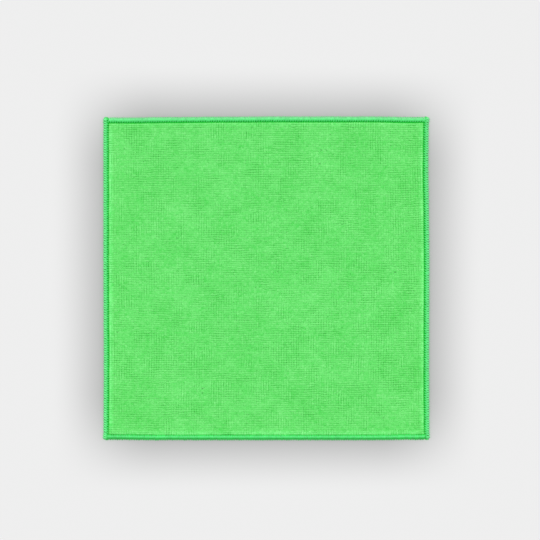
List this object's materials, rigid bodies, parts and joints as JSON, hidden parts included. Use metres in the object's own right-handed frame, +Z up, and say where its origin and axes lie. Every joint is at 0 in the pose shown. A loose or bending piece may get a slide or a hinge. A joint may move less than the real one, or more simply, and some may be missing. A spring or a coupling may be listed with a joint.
{
  "type": "microfibre cleaning cloth",
  "caption": "Nearly square microfibre cleaning cloth lying flat, with short looped pile on both faces and a raised overlocked thread edging around it.",
  "frame": {"origin": "middle of the flat underside, on the surface that the cloth lies on", "axes": "+X from the left edge to the right edge, +Y from the bottom edge to the top edge, +Z up through the cloth"},
  "size_m": [0.3, 0.2977, 0.0029],
  "materials": {
    "pile_knit": "matt looped microfibre pile in bright green, warp-knitted in close rows",
    "edging_thread": "bulked overlock thread in a slightly mintier green, with a soft lustre"
  },
  "bodies": {
    "root": {"cloth": "pile_knit", "edging_top": "edging_thread", "edging_bottom": "edging_thread", "edging_left": "edging_thread", "edging_right": "edging_thread"}
  },
  "joints": []
}
